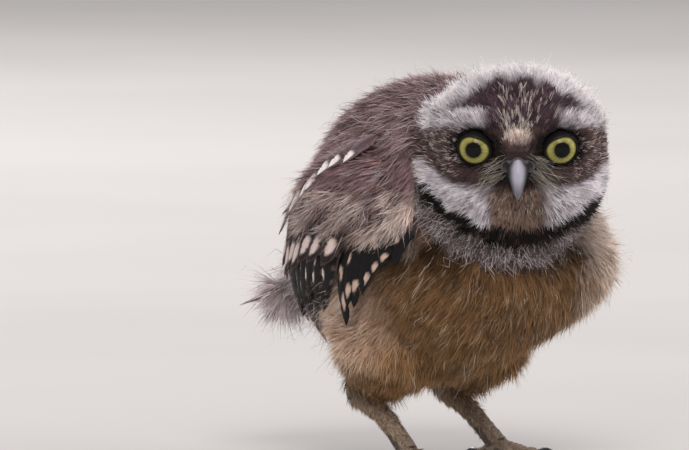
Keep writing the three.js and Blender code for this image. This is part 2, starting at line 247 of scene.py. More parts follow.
def trunk_point(bearing, height, lift, side):
    """Points over the trunk: bearing back from straight out to the side, height angle, and stand-off."""
    way = np.stack([np.cos(height) * np.cos(bearing), np.cos(height) * np.sin(bearing), np.sin(height)], -1)
    half, centre, n = TRUNK["half"], TRUNK["centre"], TRUNK["power"]
    reach = np.sum(np.abs(way) ** n, -1) ** (-1 / n)
    low, high = np.maximum(0, -way[..., 2]) ** 2, np.maximum(0, way[..., 2]) ** 2
    back, fore = np.maximum(0, way[..., 1]) ** 2, np.maximum(0, -way[..., 1]) ** 2
    off = np.hypot(bearing - math.radians(SHOULDER["bearing"]), height - math.radians(SHOULDER["height"]))
    throat_off = height - math.radians(THROAT["height"])
    tuck = TAPER["throat"] * fore * hill(throat_off, math.radians(THROAT["spread"]))
    push = SHOULDER["rise"] / half[1] * hill(off, math.radians(SHOULDER["spread"])) if side > 0 else 0
    girth = reach * (1 + push - tuck) * (1 - TAPER["below"] * low - TAPER["above"] * high)
    at = np.stack(
        [
            centre[0] + half[0] * way[..., 0] * girth * (1 - TAPER["rump"] * back),
            centre[1] + half[1] * way[..., 1] * girth + TAPER["back_below"] * low,
            centre[2] + half[2] * way[..., 2] * reach,
        ],
        -1,
    )
    share = (at - centre) / half
    slope = np.sign(share) * np.abs(share) ** (n - 1) / half
    at = at + unit(slope) * np.asarray(lift)[..., None]
    at[..., 0] *= side
    return at + shift


def rounded(piece, voxel, turns):
    """The piece closed as one skin on a grid of small cells, with its facets smoothed away."""
    closing = piece.modifiers.new("closing", "REMESH")
    closing.mode, closing.voxel_size = "VOXEL", voxel * MM
    easing = piece.modifiers.new("easing", "SMOOTH")
    easing.factor, easing.iterations = 0.5, turns
    ready = bpy.data.meshes.new_from_object(piece.evaluated_get(bpy.context.evaluated_depsgraph_get()))
    piece.modifiers.clear()
    piece.data = ready
    ready.name = piece.name
    return piece


def points_of(mesh, what="co"):
    """A mesh's places in mm, or its normals."""
    values = np.empty(len(mesh.vertices) * 3, np.float32)
    mesh.vertices.foreach_get(what, values)
    return values.reshape(-1, 3).astype(float) / (MM if what == "co" else 1)


def move_to(mesh, places):
    """Puts a mesh's vertices at new places in mm."""
    mesh.vertices.foreach_set("co", (places * MM).ravel())


body_form = bmesh.new()
for node in ("head", "neck", "torso", "thigh_right", "thigh_left", "tail"):
    part_form = bmesh.new()
    part_form.from_mesh(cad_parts[node].data)
    bmesh.ops.remove_doubles(part_form, verts=part_form.verts, dist=WELD)
    if node == "tail":
        bmesh.ops.bisect_plane(
            part_form,
            geom=part_form.verts[:] + part_form.edges[:] + part_form.faces[:],
            plane_co=(0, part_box("tail")[0].y + TAIL_STUB * MM, 0),
            plane_no=(0, 1, 0.1),
            clear_outer=True,
        )
        bmesh.ops.holes_fill(part_form, edges=part_form.edges)
    for v in part_form.verts:
        v.co += v.normal * (SKIN_SWELL * MM)
    part_mesh = bpy.data.meshes.new("part")
    part_form.to_mesh(part_mesh)
    part_form.free()
    body_form.from_mesh(part_mesh)
for side, _ in SIDES:
    pad = bmesh.ops.create_uvsphere(body_form, u_segments=40, v_segments=20, radius=1)["verts"]
    co = np.array([v.co for v in pad])
    turn = math.radians(WING_PAD["lean"])
    a, b = math.radians(WING_PAD["half"][0]) * co[:, 0], math.radians(WING_PAD["half"][1]) * co[:, 1]
    bearing = math.radians(WING_PAD["centre"][0]) + a * math.cos(turn) - b * math.sin(turn)
    height = math.radians(WING_PAD["centre"][1]) + a * math.sin(turn) + b * math.cos(turn)
    swell = WING_PAD["thick"] * np.maximum(co[:, 2], 0) ** 0.8
    lift = np.where(co[:, 2] > 0, swell, WING_PAD["sunk"])
    for v, at in zip(pad, trunk_point(bearing, height, lift, side)):
        v.co = Vector(at) * MM
    if side < 0:
        bmesh.ops.reverse_faces(body_form, faces=list({f for v in pad for f in v.link_faces}))
skin = rounded(made_from(body_form, "skin"), SKIN_VOXEL, SKIN_TURNS)

# The skin sinks in by the depth of its coat, rises to a brim round each eye and gives way to the ball.
co, no = points_of(skin.data), points_of(skin.data, "normal")
local = in_head(co)
inside = np.linalg.norm(local / (np.array(HEAD["half"]) + 1), axis=1)
face_share = step(1.2, 1.06, inside) * step(-14, -4, local[:, 1]) * step(-4, 10, local[:, 1])
depth = COAT_DEPTH + (FACE_DEPTH - COAT_DEPTH) * face_share
co = co - no * depth[:, None] - no * SKIN_SWELL
in_front = local[:, 1] > SOCKET["front"]
for side, _ in SIDES:
    eye_at = np.array(head_place @ eye_middle(side)) + shift
    brim = np.linalg.norm(np.cross(co - eye_at, head_turn @ np.array((0, 1.0, 0))), axis=1)
    co += no * (hill(brim - SOCKET["brim"], SOCKET["spread"]) * in_front * SOCKET["rise"])[:, None]
    away = co - eye_at
    near = in_front & (np.linalg.norm(away, axis=1) < EYE["radius"] + SOCKET["near"])
    co[near] = eye_at + unit(away[near]) * (EYE["radius"] - SOCKET["deep"])
move_to(skin.data, co)
skin.data.update()

# Down covers the whole bird except the eyes, the bill and the feet. Each root's colours, length and
# stance follow from where it grows, zone by zone, and the skin below carries the same markings.
FACE_TILT = math.radians(14)
CROWN_EDGE, CROWN_ARCH = 22.8, 0.022
HEAD_POWER, HEAD_SIDE, LEFT_BULGE = 2.2, 35.8, 2.6


def look(points):
    """Where points lie: in the head's axes, over the face, on the body."""
    local = in_head(points)
    across, depth, height = local.T
    up = (height - EYE["up"]) * math.cos(FACE_TILT) - (depth - EYE["forward"]) * math.sin(FACE_TILT)
    share = local / (np.array(HEAD["half"]) + 1)
    inside = np.sum(np.abs(share) ** HEAD_POWER, 1) ** (1 / HEAD_POWER)
    body = points - shift
    trunk = body - np.array(TRUNK["centre"])
    outward = np.where(across < 0, -across, across - LEFT_BULGE)
    head = step(1.1, 1.02, inside) * step(HEAD_SIDE, HEAD_SIDE - 2.4, outward)
    return {
        "local": local,
        "x": across,
        "a": np.abs(across),
        "v": up,
        "y": depth,
        "z": height,
        "head": head,
        "face": head * step(-3, 6, depth),
        "body": body,
        "bearing": np.degrees(np.arctan2(trunk[:, 1], np.abs(trunk[:, 0]))),
        "height": np.degrees(np.arctan2(trunk[:, 2], np.hypot(trunk[:, 0], trunk[:, 1]))),
    }


def ripple(points, size, seed):
    """Soft blotches about size across, from -1 to 1."""
    draw = np.random.default_rng(seed)
    total = 0
    for _ in range(5):
        way = draw.normal(size=3)
        along = points @ (way / np.linalg.norm(way))
        total = total + np.sin(along * math.tau / size / draw.uniform(0.7, 1.4) + draw.uniform(0, 6))
    return np.clip(total / 2.5, -1, 1)


def band(low, high, soft, value):
    return step(low - soft, low + soft, value) * step(high + soft, high - soft, value)


def mixed(colour, code, where):
    """Colours turned to another as far as where says."""
    return colour + (np.array(tone(code)) - colour) * np.asarray(where)[..., None]


def markings(points, normals):
    """The plumage at each point: colours of root and tip, length, lift in degrees, curl, density."""
    at = look(points)
    x, a, v, y, head, face = (at[k] for k in ("x", "a", "v", "y", "head", "face"))
    bx, by, bz = at["body"].T
    left = bx > 0
    wobble = ripple(points, 7, 3) * 1.3

    # On the head: the edges of the cap, the cheeks and the ruff, then each patch between them.
    edge = CROWN_EDGE - CROWN_ARCH * x**2 + wobble
    cheek_top = -14 + 8.5 * step(21, 34, a) + wobble * 0.5
    cheek_low = -28.4 + 0.0145 * a**2 + wobble * 0.6
    rim_low = cheek_low - 5.8 - 1.6 * step(20, 5, a) + wobble * 0.3
    ruff_low = -41.5 + np.where(x < 0, 0.013, 0.007) * x**2
    band_out = step(31.5, 29.5, v + 0.78 * np.maximum(0, -x - 8)) * step(-33.5, -30.5, x)
    near_head = step(1.75, 1.35, np.sum(np.abs(at["local"] / np.array(HEAD["half"])) ** 2, 1) ** 0.5)
    ruff = step(ruff_low - 2, ruff_low + 2, v + wobble) * step(-32, -36, v) * near_head * step(-8, 2, y)
    cap = face * step(edge + 1.2, edge - 1.2, v) * step(3, 6, v)
    brow_high = 10.8 + 3 * step(21, 28, a)
    brow = face * band(5.6, brow_high, 1.2, v) * band(12, 38, 2, a + 4 * (x < 0) - 3)
    brow = brow * (0.85 + 0.15 * ripple(points, 2.5, 17))
    crown_ring = head * step(edge - 1, edge + 1.4, v) * step(4, 8, v) * step(-13, -7, y) * band_out
    ear = face * band(-11, 5, 2, v) * step(18, 22, a)
    above_bill = face * np.maximum(0, 1 - np.hypot(x / 5.4, (v - 2.4) / 3.6) ** 4)
    beside_bill = face * step(1.15, 0.85, np.hypot((a - 8.5) / 4.2, (v + 3.5) / 6))
    eye_edge = face * step(1.12, 0.92, np.hypot(a - 15.8, v * (1.12 - 0.12 * (v < 0))) / 7.2)
    gape = face * step(8.5, 5.5, a) * band(-16, -7, 2, v)
    moustache = face * step(5, 11, a) * band(-30, -14, 1.2, v) * (v < 0)
    cheek = face * step(cheek_top + 1, cheek_top - 1, v) * step(16, 22, a)
    chin = face * step(11, 7, a) * band(-30, -15, 1.5, v)
    throat_ring = head * step(cheek_low + 0.8, cheek_low - 0.8, v) * step(-14, -6, y)
    ruff_rim = head * step(rim_low + 1, rim_low - 1.5, v) * step(-14, -6, y)

    # On the body: mantle above, trunk below, and the patches on each.
    bearing, height = at["bearing"] + wobble * 2, at["height"] + wobble * 2
    mantle = step(2, 9, height) * np.maximum(step(-52, -40, bearing), step(26, 38, height))
    trunk_low = 1 - mantle
    front = step(0.25, -0.2, normals[:, 1] - 0.3 * (normals[:, 0] < 0)) * trunk_low
    side = np.abs(normals[:, 0])
    flank = trunk_low * step(0.5, 0.85, side) * step(-10, 14, by)
    rump = trunk_low * step(26, 46, by) * step(98, 86, bz)
    thigh = step(48, 34, bz) * step(0.1, 0.5, side)
    tuft_off = np.hypot(bearing + np.where(left, 47, 34), (height - np.where(left, 2, 13)) / 1.5)
    shoulder = hill(tuft_off, np.where(left, 29, 13)) ** 0.4
    shoulder = shoulder * step(-40, -25, at["bearing"] * (bx < 0) - 20 * left)
    shoulder = shoulder * step(24 + 10 * left, 16 + 10 * left, height)
    covert = band(1, 21, 3, height) * band(-27, 58, 4, bearing)
    plume = ripple(points * (1, 1, 0.6), 7, 29)
    under_wing = band(-14, 44, 4, at["bearing"]) * band(-17, 3, 3, at["height"])

    zones = [
        # where, root, tip, length, lift, curl, density
        (1.0, "#4c3735", "#ab8b8c", 8.5, 10, 0.06, 1.0),  # all of the mantle
        (mantle * step(40, 55, height), "#402e2d", "#9a7b7d", 8.5, 9, 0.05, 1.0),
        (trunk_low, "#7d5b43", "#d0a681", 9.0, 12, 0.08, 1.0),
        # Olive-brown front of the trunk: partly the breast's own colour, partly painted shade under the head.
        (front, "#4c321c", "#987450", 9.0, 10, 0.07, 1.0),
        # Near-black band high on the front of the trunk: painted shadow under the head and ruff.
        (front * step(-17, -2, height), "#180f08", "#3f2a13", 7.5, 10, 0.08, 1.0),
        # Darker towards the bottom of the trunk: partly the belly's own tone, partly painted shade under the
        # body.
        (trunk_low * step(62, 40, bz), "#5e4329", "#a98259", 9.0, 13, 0.09, 1.0),  # belly
        (flank, "#c69a80", "#ffe3cc", 10.0, 17, 0.12, 1.0),
        (shoulder, "#cfae9a", "#fff0e3", 9.5, 24, 0.12, 1.4),
        (rump, "#a3929a", "#f6eaef", 13.5, 20, 0.16, 1.2),
        (thigh, "#533922", "#9b7752", 7.0, 10, 0.07, 1.0),
        (covert, "#34252a", "#a8928c", 9.5, 15, 0.1, 1.2),
        (covert * step(0.1, 0.45, plume), "#6a5350", "#f0dcd3", 8.0, 24, 0.18, 1.2),
        (covert * step(-0.15, -0.5, plume), "#1d1415", "#6e5b58", 7.0, 9, 0.05, 1.0),
        (ruff * (1 - head), "#1a1110", "#69564f", 4.6, 26, 0.42, 1.4),
        (head, "#3d2a2d", "#7e5f65", 6.0, 10, 0.06, 1.1),  # nape
        (face, "#2d2120", "#655250", 3.0, 9, 0.04, 1.7),
        (cap, "#1f161a", "#54424a", 3.4, 10, 0.06, 1.7),
        (brow, "#c2b8c4", "#fffaff", 4.4, 13, 0.12, 1.7),
        (crown_ring, "#9b909f", "#fffcff", 5.2, 21, 0.14, 1.6),
        (ear, "#271b1a", "#66524e", 3.4, 6, 0.03, 1.7),
        (above_bill, "#cfb0a2", "#fff6f0", 2.2, 10, 0.05, 2.0),
        (beside_bill, "#0f0a0b", "#352927", 2.2, 7, 0.02, 2.0),
        (eye_edge, "#080505", "#2a2024", 2.0, 9, 0.03, 3.4),
        (gape, "#0f0a0b", "#3b2d2a", 2.2, 8, 0.03, 2.0),
        (moustache, "#a298a8", "#fffaff", 4.8, 8, 0.05, 1.7),
        (cheek, "#a298a8", "#fffaff", 4.8, 8, 0.05, 1.7),
        (chin, "#382924", "#9c8375", 3.6, 8, 0.05, 1.7),
        (throat_ring, "#050304", "#1c1413", 4.6, 13, 0.13, 1.5),
        (ruff_rim, "#191111", "#887878", 4.2, 26, 0.42, 1.5),
    ]
    root, tip, rest = np.zeros((len(points), 3)), np.zeros((len(points), 3)), np.zeros((len(points), 4))
    for where, root_code, tip_code, *growth in zones:
        root, tip = mixed(root, root_code, where), mixed(tip, tip_code, where)
        rest = rest + (np.array(growth) - rest) * np.asarray(where)[..., None]
    rest[:, 3] *= 1 - 0.97 * under_wing
    shade = 1 + 0.17 * ripple(points, 15, 8)[:, None] + 0.1 * ripple(points, 5, 9)[:, None]
    return root * shade, tip * shade, rest, at


def spread_tint(mesh, colours):
    """Colours kept on the vertices, which the finish reads back."""
    layer = mesh.color_attributes.new("tint", "FLOAT_COLOR", "POINT")
    solid = np.concatenate([colours, np.ones((len(colours), 1))], 1)
    layer.data.foreach_set("color", solid.astype(np.float32).ravel())


def tint_of(finish):
    return finish.node("ShaderNodeAttribute", {"attribute_name": "tint"})


def bump_of(finish, height, strength, distance):
    """Relief of a given depth in metres."""
    return finish.node("ShaderNodeBump", {}, {"Height": height, "Strength": strength, "Distance": distance})


hide = Finish("skin_hide")
hide_bump = bump_of(hide, grain_of(hide, 900.0, 4.0), 0.6, 0.0004)
skin.data.materials.append(hide.close(Base_Color=tint_of(hide), Roughness=0.9, Normal=hide_bump))
skin_root, skin_tip, _, _ = markings(points_of(skin.data), no)
spread_tint(skin.data, skin_root * 0.75 + skin_tip * 0.1)
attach(skin, "root")
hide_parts("head", "neck", "torso", "thigh_right", "thigh_left")


def scatter(mesh, weigh, count, seed):
    """Roots spread over a mesh, as thickly as weigh says for each place."""
    mesh.calc_loop_triangles()
    corners = np.empty(len(mesh.loop_triangles) * 3, np.int32)
    mesh.loop_triangles.foreach_get("vertices", corners)
    corners = corners.reshape(-1, 3)
    place, slope = points_of(mesh), points_of(mesh, "normal")
    a, b, c = (place[corners[:, k]] for k in range(3))
    area = np.linalg.norm(np.cross(b - a, c - a), axis=1)
    weight = area * weigh((a + b + c) / 3, unit(slope[corners].mean(1)))
    draw = np.random.default_rng(seed)
    pick = draw.choice(len(weight), count, p=weight / weight.sum())
    p, q = draw.random((2, count))
    p, q = np.where(p + q > 1, 1 - p, p), np.where(p + q > 1, 1 - q, q)
    mix = np.stack([1 - p - q, p, q], 1)[..., None]
    return (place[corners[pick]] * mix).sum(1), unit((slope[corners[pick]] * mix).sum(1))


def growing(middle, slope):
    """How thickly down grows on the body: not on the eyes, the bill or the feet."""
    growth, at = markings(middle, slope)[2:]
    on_eye = (np.hypot(at["a"] - 15.2, at["v"]) < 6.2) & (at["y"] > 8)
    bill_half = np.where(at["v"] > -8.5, 5.6, 4.2)
    on_bill = (at["a"] < bill_half) & (at["v"] < -3.6) & (at["v"] > -14) & (at["y"] > 18)
    on_foot = at["body"][:, 2] < 26
    return growth[:, 3] * ~(on_eye | on_bill | on_foot)


def lie(points, normals, at):
    """The way that the down lies: out from the bill and the eyes on the head, back and down elsewhere."""
    local = at["local"]
    from_bill = local - np.array((0, 27, 1.5))
    from_eye = local - np.array((0, 19.0, EYE["up"]))
    from_eye[:, 0] -= np.sign(local[:, 0]) * 15.8
    near_eye = hill(np.linalg.norm(from_eye, axis=1), 15)[:, None] * 1.2
    over_head = unit(unit(from_bill) + unit(from_eye) * near_eye) @ head_turn.T
    flow = np.broadcast_to(np.array((0, 0.62, -0.8)), points.shape).copy()
    flow[:, 0] += np.where(at["body"][:, 1] < 0, np.sign(points[:, 0]) * 0.18, 0)
    down = step(60, 40, at["body"][:, 2])[:, None]
    flow = flow * (1 - 0.5 * down) + np.array((0, 0.1, -1.0)) * down * 0.5
    ruff = step(-33, -38, at["v"]) * step(1.5, 1.2, np.linalg.norm(local / np.array(HEAD["half"]), axis=1))
    under_chin = unit(from_bill) @ head_turn.T + np.array((0, 0, -0.6))
    flow = flow * (1 - ruff[:, None]) + under_chin * ruff[:, None]
    flow = flow + (over_head - flow) * at["head"][:, None]
    return unit(flow - normals * np.sum(flow * normals, 1)[:, None])


def unwrap(points, centre):
    """The skin laid flat as an equal-area disc round a direction from a middle point."""
    middle, face_way = centre
    way = unit(points - np.array(middle))
    axis = np.array(Vector(face_way).normalized())
    right = unit(np.cross(axis, (0, 0, 1.0)))
    top = np.cross(right, axis)
    out = np.arccos(np.clip(way @ axis, -1, 1))
    radius = np.sin(out / 2) * 0.485
    across, along = way @ right, way @ top
    size = np.maximum(np.hypot(across, along), 1e-9)
    return 0.5 + np.stack([across / size, along / size], 1) * radius[:, None]


def smooth_faces(mesh):
    mesh.polygons.foreach_set("use_smooth", np.ones(len(mesh.polygons), bool))


def times(finish, one, two):
    """Two colours multiplied, by the Mix node's colour sockets 6 and 7 into its colour output 2."""
    settings = {"data_type": "RGBA", "blend_type": "MULTIPLY"}
    return finish.node("ShaderNodeMix", settings, {0: 1.0, 6: one, 7: two}, out=2)


down = Finish("soft_down")
mottle = ramp_of(down, grain_of(down, 260.0, 3.0), (0.3, (0.8, 0.8, 0.8)), (0.7, (1.14, 1.13, 1.12)))
soft_down = down.close(
    Base_Color=times(down, tint_of(down), mottle),
    Roughness=0.9,
    Specular_IOR_Level=0.12,
    Sheen_Weight=0.06,
    Sheen_Roughness=0.6,
)

# A barb's shading leans to the skin's own slope by its softness, and it has a small patch of the
# piece's flat map to itself.
SOFTNESS, PATCH_SIZE, PATCH_HALF = 0.6, 0.003, 0.0012


def barbs(
    name, roots, normals, ways, length, lift, curl, colours, seed, count, wide, spot,
    rows=2, clump=0.5, stray=0.2, thick=0.42,
):
    """Tufts of fine tapering barbs, as one mesh. Each barb bends over and ends in a point."""
    draw = np.random.default_rng(seed)
    tufts = len(roots)
    shape = (tufts, count)
    ways = unit(ways + draw.normal(scale=stray, size=(tufts, 3)))
    aside = unit(np.cross(normals, ways))
    fan = draw.normal(scale=0.24, size=shape) * (1 - clump)
    start = draw.normal(scale=thick, size=shape)
    way = unit(ways[:, None] + aside[:, None] * fan[..., None])
    rise = np.tan(np.radians(lift[:, None] * draw.uniform(0.55, 1.5, shape)))
    reach = length[:, None] * draw.uniform(0.68, 1.12, shape)
    bend = np.clip(draw.normal(size=(2, *shape, 3)), -1.5, 1.5) * (curl[:, None] * reach)[..., None]
    droop = draw.uniform(0.15, 0.7, shape) * rise
    roll = draw.normal(scale=0.45, size=shape)
    edge = aside[:, None] * np.cos(roll)[..., None] + normals[:, None] * np.sin(roll)[..., None]
    base = roots[:, None] + aside[:, None] * start[..., None]
    base = base + way * draw.normal(scale=0.3, size=shape)[..., None]
    width = wide * draw.uniform(0.7, 1.3, shape)
    shade = np.clip(draw.normal(1, 0.1, (tufts, 1)) * draw.normal(1, 0.13, shape), 0.5, 1.6)

    # Two points to a row from the root on, and a single one at the tip.
    root_tone, tip_tone = colours
    disc = unwrap(roots, spot)
    places, tints, patches = [], [], []
    for row in range(rows + 1):
        t = row / rows
        height = reach * (rise * t - droop * t * t)
        at = base + way * (reach * t)[..., None] + normals[:, None] * height[..., None]
        at = at + bend[0] * t**2 + bend[1] * (0.7 * math.sin(t * math.tau) * (rows > 2))
        tint = (root_tone + (tip_tone - root_tone) * t**0.8)[:, None] * shade[..., None]
        own_spot = np.stack([(np.arange(count) + 0.5) / count, np.full(count, t)], 1) - 0.5
        patch = disc[:, None] + np.broadcast_to(own_spot * PATCH_SIZE, (*shape, 2))
        half = edge * (width * (1 - 0.35 * t) / 2)[..., None]
        nudge = np.array((PATCH_HALF / count, 0))
        for hand in ((-1, 1) if row < rows else (0,)):
            places.append(at + half * hand)
            tints.append(np.clip(tint, 0, 1))
            patches.append(patch + nudge * hand)
    per = 2 * rows + 1
    vertices = np.stack(places, 2).reshape(-1, 3) * MM
    tints, patches = np.stack(tints, 2).reshape(-1, 3), np.stack(patches, 2).reshape(-1, 2)

    # Two triangles between neighbouring rows and one at the tip.
    faces = []
    for k in range(0, per - 3, 2):
        faces += [(k, k + 3, k + 1), (k, k + 2, k + 3)]
    faces.append((per - 3, per - 1, per - 2))
    corners = (np.arange(tufts * count)[:, None, None] * per + np.array(faces)[None]).reshape(-1)
    mesh = bpy.data.meshes.new(name)
    mesh.vertices.add(len(vertices))
    mesh.vertices.foreach_set("co", vertices.ravel())
    mesh.loops.add(len(corners))
    mesh.loops.foreach_set("vertex_index", corners.astype(np.int32))
    mesh.polygons.add(len(corners) // 3)
    mesh.polygons.foreach_set("loop_start", np.arange(0, len(corners), 3, dtype=np.int32))
    flat_map = mesh.uv_layers.new(name="OFBake")
    flat_map.data.foreach_set("uv", patches[corners].astype(np.float32).ravel())
    mesh.update()
    smooth_faces(mesh)
    spread_tint(mesh, tints)
    skin_slope = np.repeat(normals[:, None], count * per, 1).reshape(-1, 3)
    own_slope = points_of(mesh, "normal")
    mesh.normals_split_custom_set_from_vertices(unit(skin_slope * SOFTNESS + own_slope * (1 - SOFTNESS)))
    made = link(mesh, soft_down)
    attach(made, "root")
    return made


ROOTS = 86000
roots, root_normals = scatter(skin.data, growing, ROOTS, 11)
root_tone, tip_tone, growth, at = markings(roots, root_normals)
ways = lie(roots, root_normals, at)
frizzy = growth[:, 2] > 0.3
frizzy = growth[:, 2] > 0.3

# Single tufts differ from those round them: pale rays over the ears, dark ones in the cheeks and pale
# flecks in the cap, chin and mantle.
on_body = 1 - at["head"]
FLECKS = [
    # where, share, tip colour
    (at["face"] * band(-12, 6, 2, at["v"]) * step(17, 21, at["a"]), 0.2, "#d9cbc6"),
    (at["face"] * band(-26, -13, 1, at["v"]) * step(4, 8, at["a"]) * step(24, 12, at["a"]), 0.14, "#4c3f46"),
    (at["face"] * step(10, 6, at["a"]) * band(-24, -15, 1, at["v"]), 0.2, "#cdbba9"),
    (at["head"] * step(-25, -29, at["v"]), 0.13, "#6b5852"),
    (at["face"] * step(5, 9, at["v"]) * step(24, 18, at["v"]), 0.07, "#a8959b"),
    (at["face"] * band(6, 14, 1, at["v"]) * step(14, 18, at["a"]), 0.12, "#54464e"),
    (on_body * step(5, 12, at["height"]), 0.12, "#d3c2c6"),
    (frizzy, 0.18, "#eee3e7"),
    (at["face"] * (np.hypot(at["x"] / 5.4, (at["v"] - 2.4) / 3.6) < 1.1), 0.22, "#77594b"),
    (at["face"] * (np.hypot(at["x"] / 6, (at["v"] - 6) / 2) < 1), 0.3, "#fff4ee"),
    (on_body * step(5, 12, at["height"]), 0.1, "#4a3839"),
    (on_body * step(-8, -18, at["height"]), 0.1, "#cfb596"),
    (on_body * step(2, -8, at["height"]), 0.1, "#6d573e"),
]
pick = np.random.default_rng(21)
for where, share, code in FLECKS:
    chosen = (where > 0.5) & (pick.random(ROOTS) < share)
    tip_tone[chosen] = np.array(tone(code)) * pick.uniform(0.8, 1.1, (chosen.sum(), 1))

# The down is laid in thirteen pieces, each with its share of the roots, its own spread of barbs and its
# own flat map round one direction. The ruff's barbs are finer and curled, so they have more rows.
head_middle, trunk_middle = np.array(HEAD["centre"]) + shift, np.array(TRUNK["centre"]) + shift
face_way, left_way = head_turn @ np.array((0, 1.0, 0)), head_turn @ np.array((1.0, 0, 0))
head, face, face_left = at["head"] > 0.5, at["face"] > 0.5, at["x"] > 0
body, left, back = ~head & ~frizzy, roots[:, 0] > 0, at["bearing"] > 0
above, below, top = at["height"] > 3, at["height"] < -32, at["height"] > 40
mantle, waist = body & above & ~top, body & ~above & ~below
DOWN = [
    # name, slot, which roots, middle, disc faces, barbs, width
    ("face_right", "dark_down", face & ~frizzy & ~face_left, head_middle, face_way - left_way * 0.5, 4, 0.24),
    ("face_left", "dark_down", face & ~frizzy & face_left, head_middle, face_way + left_way * 0.5, 4, 0.24),
    ("nape", "dark_down", head & ~face & ~frizzy, head_middle, -face_way, 5, 0.3),
    ("ruff", "dark_down", frizzy, head_middle, face_way, 5, 0.2),
    ("mantle_right", "buff_down", mantle & ~left, trunk_middle, (-1, 0, 0), 5, 0.3),
    ("mantle_left", "buff_down", mantle & left, trunk_middle, (1, 0, 0), 5, 0.3),
    ("back", "buff_down", body & top, trunk_middle, (0, 0, 1), 5, 0.3),
    ("rump_right", "buff_down", waist & back & ~left, trunk_middle, (-1, 1, 0), 5, 0.3),
    ("rump_left", "buff_down", waist & back & left, trunk_middle, (1, 1, 0), 5, 0.3),
    ("breast_right", "buff_down", waist & ~back & ~left, trunk_middle, (-1, -1, 0), 5, 0.3),
    ("breast_left", "buff_down", waist & ~back & left, trunk_middle, (1, -1, 0), 5, 0.3),
    ("belly_right", "buff_down", body & below & ~left, trunk_middle, (-1, 0, -1), 5, 0.3),
    ("belly_left", "buff_down", body & below & left, trunk_middle, (1, 0, -1), 5, 0.3),
]
for index, (name, slot, chosen, middle, way, count, wide) in enumerate(DOWN):
    chosen = np.flatnonzero(chosen)
    made = barbs(
        f"down_{name}",
        roots[chosen],
        root_normals[chosen],
        ways[chosen],
        *growth[chosen, :3].T,
        colours=(root_tone[chosen], tip_tone[chosen]),
        seed=100 + index,
        count=count,
        wide=wide,
        spot=(middle, way),
        rows=4 if name == "ruff" else 2,
    )

# Long loose filaments rise out of the down: white over the crown, curled and pale in the ruff, wispy
# along the back, the flanks and the rump.
WISPS = 5200
worth = 0.05 + 0.9 * (growth[:, 2] > 0.11) + 0.7 * (at["body"][:, 2] > 116) * (at["head"] < 0.5)
worth = np.where(face, (growth[:, 2] > 0.13) * 1.3, worth)
worth = worth * np.where(frizzy, 0.9, 1)
picked = pick.choice(ROOTS, WISPS, replace=False, p=worth / worth.sum())
pale = mixed(tip_tone[picked], "#f0e6e4", pick.uniform(0.25, 0.85, WISPS))
made = barbs(
    "wisps",
    roots[picked] + root_normals[picked],
    root_normals[picked],
    ways[picked],
    length=growth[picked, 0] * pick.uniform(0.8, 1.2, WISPS),
    lift=growth[picked, 1] * 0.65 + pick.uniform(4, 14, WISPS),
    curl=np.minimum(growth[picked, 2] + pick.uniform(0.05, 0.2, WISPS), 0.4),
    colours=(pale * 0.7, pale),
    seed=300,
    count=2,
    wide=0.15,
    spot=(trunk_middle, (0, 0, 1)),
    rows=4,
    stray=0.35,
)

# The forehead is flecked with small flame-shaped feathers, cream at the tip, with two larger ones over
# the eyes, two tufts above the bill and three pale ones behind the crown.
FLAMES = [
    # across the face, up it, length
    (-12.2, 8.6, 5.5),
    (12.8, 9.4, 5.5),
    (-5.4, 5.2, 3.6),
    (-3.6, 4.8, 3.2),
    (2.4, 5.8, 3.6),
    (4.2, 5.2, 3.2),
    (-32.2, 15.5, 6),
    (-36.5, 9.6, 6),
    (-31.2, 13.5, 5),
]
FLAME_LIFT, FLAME_CURL, FLAME_STAND = 9.0, 0.04, 1.1
for _ in range(50):
    across, up = pick.normal(0.5, 6.5), pick.uniform(6.5, 20)
    if math.hypot(across / 14, (up - 11) / 10) < 1:
        FLAMES.append((across, up, pick.uniform(2.4, 4.4)))


def root_near(across, up, behind):
    """The root that grows nearest to a place on the face and not behind a depth."""
    return int(np.argmin(np.hypot(at["x"] - across, at["v"] - up) + 50 * (at["y"] < behind)))


nearest = [root_near(across, up, -12) for across, up, _ in FLAMES]
flame_tone = np.array(tone("#d9c9c3")) * pick.uniform(0.7, 1.1, (len(FLAMES), 1))
made = barbs(
    "flame_feathers",
    roots[nearest] + root_normals[nearest] * FLAME_STAND,
    root_normals[nearest],
    ways[nearest],
    length=np.array([long for _, _, long in FLAMES]),
    lift=np.full(len(FLAMES), FLAME_LIFT),
    curl=np.full(len(FLAMES), FLAME_CURL),
    colours=(flame_tone * 0.4, flame_tone),
    seed=310,
    count=5,
    wide=0.15,
    spot=(head_middle, face_way),
    rows=3,
    clump=0.8,
    thick=0.3,
)

# Stiff cream bristles fan out and down from the base of the bill over both cheeks. Each is a single
# bare shaft, rooted in the dark down beside the bill.
BRISTLES, BRISTLE_CURL, BRISTLE_STAND = 84, 0.05, 0.8
hand = np.where(pick.random(BRISTLES) < 0.5, -1, 1)
out, up = pick.uniform(3.6, 7.4, BRISTLES), pick.uniform(-11.5, -3.5, BRISTLES)
nearest = [root_near(h * o, u, 5) for h, o, u in zip(hand, out, up)]
outward, forward = hand * pick.uniform(0.8, 1.1, BRISTLES), np.full(BRISTLES, 0.1)
sweep = np.stack([outward, forward, pick.uniform(-0.85, -0.12, BRISTLES)], 1) @ head_turn.T
sweep -= root_normals[nearest] * np.sum(sweep * root_normals[nearest], 1)[:, None]
cream = np.array(tone("#e3dacb")) * pick.uniform(0.06, 1.0, (BRISTLES, 1))
made = barbs(
    "bristles",
    roots[nearest] + root_normals[nearest] * BRISTLE_STAND,
    root_normals[nearest],
    sweep,
    length=pick.uniform(5, 14.5, BRISTLES),
    lift=pick.uniform(10, 24, BRISTLES),
    curl=np.full(BRISTLES, BRISTLE_CURL),
    colours=(cream * 0.35, cream),
    seed=320,
    count=2,
    wide=0.12,
    spot=(head_middle, face_way),
    rows=4,
    clump=0.7,
    stray=0.08,
)

